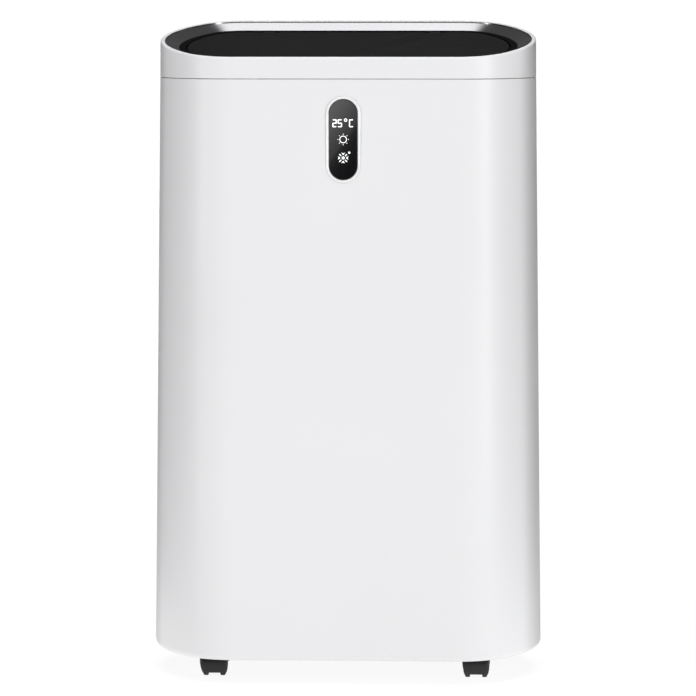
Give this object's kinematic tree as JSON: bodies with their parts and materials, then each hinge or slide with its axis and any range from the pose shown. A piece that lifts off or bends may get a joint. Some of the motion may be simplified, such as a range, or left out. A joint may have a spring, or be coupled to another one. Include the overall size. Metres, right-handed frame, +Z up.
{
  "type": "dehumidifier",
  "caption": "Floor-standing dehumidifier: white oval-plan cabinet on twin-wheel casters, sloping recessed air outlet, vertical pill-shaped display, slide-out rear tank.",
  "frame": {"origin": "on the floor, under the middle of the body", "axes": "+Z up, front (the side with the display) towards -Y, +X to the right seen from the front"},
  "size_m": [0.415, 0.251, 0.6934],
  "materials": {
    "white_shell": "satin",
    "display_trim": "gloss",
    "bezel": "satin",
    "black_panel": "satin",
    "display_glass": "gloss",
    "board": "satin",
    "steel": "satin",
    "base_plastic": "matte",
    "inner_plastic": "matte",
    "fan_plastic": "satin",
    "mesh": "matte",
    "tank_plastic": "satin",
    "lid_plastic": "satin",
    "black_steel": "satin",
    "aluminium": "satin",
    "copper": "satin",
    "motor_metal": "satin",
    "rubber": "matte",
    "caster_plastic": "satin"
  },
  "bodies": {
    "housing": {"front_cover": "white_shell", "rear_cover": "white_shell", "top_ring": "white_shell", "top_bezel": "bezel", "outlet_frame": "black_panel", "outlet_grille": "black_panel", "outlet_duct": "black_panel", "flap_hinge_pins": "steel", "base_pan": "base_plastic", "mid_deck": "base_plastic", "handle_cups": "white_shell", "display_ring": "display_trim", "display_window": "display_glass", "display_board": "board", "screws": "steel", "drip_tray": "inner_plastic", "compressor": "black_steel", "compressor_grommets": "rubber", "compressor_bolts": "steel", "accumulator": "black_steel", "evaporator_fins": "aluminium", "evaporator_tubes": "copper", "condenser_fins": "aluminium", "condenser_tubes": "copper", "suction_pipe": "copper", "discharge_pipe": "copper", "filter_drier": "copper", "capillary_tube": "copper", "coil_shroud": "inner_plastic", "fan_scroll": "inner_plastic", "scroll_cover": "inner_plastic", "fan_motor": "motor_metal", "control_box": "inner_plastic", "control_board": "board", "capacitor": "aluminium", "drain_hose": "rubber", "drain_spigot": "lid_plastic", "cord_gland": "rubber", "caster_stems": "steel"},
    "flap": {"outlet_flap": "black_panel"},
    "cassette": {"intake_grille": "white_shell", "filter_frame": "fan_plastic", "filter_mesh": "mesh"},
    "tank": {"water_tank": "tank_plastic", "tank_lid": "lid_plastic", "tank_front": "white_shell"},
    "tank_bail": {"tank_handle": "black_panel"},
    "float": {"tank_float": "lid_plastic"},
    "fan": {"fan_wheel": "fan_plastic", "fan_shaft": "steel", "fan_nut": "steel"},
    "plug": {"drain_plug": "rubber"},
    "caster_1": {"caster_fork_1": "caster_plastic"},
    "wheels_1": {"caster_wheels_1": "caster_plastic"},
    "caster_2": {"caster_fork_2": "caster_plastic"},
    "wheels_2": {"caster_wheels_2": "caster_plastic"},
    "caster_3": {"caster_fork_3": "caster_plastic"},
    "wheels_3": {"caster_wheels_3": "caster_plastic"},
    "caster_4": {"caster_fork_4": "caster_plastic"},
    "wheels_4": {"caster_wheels_4": "caster_plastic"}
  },
  "joints": [
    {"name": "flap_hinge", "type": "hinge", "parent": "housing", "child": "flap", "pos_m": [0, 0.09395, 0.67904], "axis": [-1, 0, 0], "range_deg": [0, 45]},
    {"name": "cassette_slide", "type": "slide", "parent": "housing", "child": "cassette", "axis": [0, 1, 0], "range_m": [0, 0.12]},
    {"name": "tank_slide", "type": "slide", "parent": "housing", "child": "tank", "axis": [0, 1, 0], "range_m": [0, 0.2]},
    {"name": "tank_handle_hinge", "type": "hinge", "parent": "tank", "child": "tank_bail", "pos_m": [-0.022, 0.022, 0.19], "axis": [-1, 0, 0], "range_deg": [0, 90]},
    {"name": "float_pivot", "type": "hinge", "parent": "tank", "child": "float", "pos_m": [-0.07, -0.04, 0.16], "axis": [1, 0, 0], "range_deg": [0, 35]},
    {"name": "fan_spin", "type": "hinge", "parent": "housing", "child": "fan", "pos_m": [0, 0, 0.4], "axis": [0, 1, 0], "continuous": true},
    {"name": "drain_plug_pull", "type": "slide", "parent": "housing", "child": "plug", "axis": [0, 1, 0], "range_m": [0, 0.03]},
    {"name": "caster_1_swivel", "type": "hinge", "parent": "housing", "child": "caster_1", "pos_m": [-0.139, -0.08, 0.034], "axis": [0, 0, 1], "continuous": true},
    {"name": "caster_1_roll", "type": "hinge", "parent": "caster_1", "child": "wheels_1", "pos_m": [-0.139, -0.071, 0.015], "axis": [1, 0, 0], "continuous": true},
    {"name": "caster_2_swivel", "type": "hinge", "parent": "housing", "child": "caster_2", "pos_m": [0.139, -0.08, 0.034], "axis": [0, 0, 1], "continuous": true},
    {"name": "caster_2_roll", "type": "hinge", "parent": "caster_2", "child": "wheels_2", "pos_m": [0.139, -0.071, 0.015], "axis": [1, 0, 0], "continuous": true},
    {"name": "caster_3_swivel", "type": "hinge", "parent": "housing", "child": "caster_3", "pos_m": [-0.139, 0.08, 0.034], "axis": [0, 0, 1], "continuous": true},
    {"name": "caster_3_roll", "type": "hinge", "parent": "caster_3", "child": "wheels_3", "pos_m": [-0.139, 0.089, 0.015], "axis": [1, 0, 0], "continuous": true},
    {"name": "caster_4_swivel", "type": "hinge", "parent": "housing", "child": "caster_4", "pos_m": [0.139, 0.08, 0.034], "axis": [0, 0, 1], "continuous": true},
    {"name": "caster_4_roll", "type": "hinge", "parent": "caster_4", "child": "wheels_4", "pos_m": [0.139, 0.089, 0.015], "axis": [1, 0, 0], "continuous": true}
  ]
}
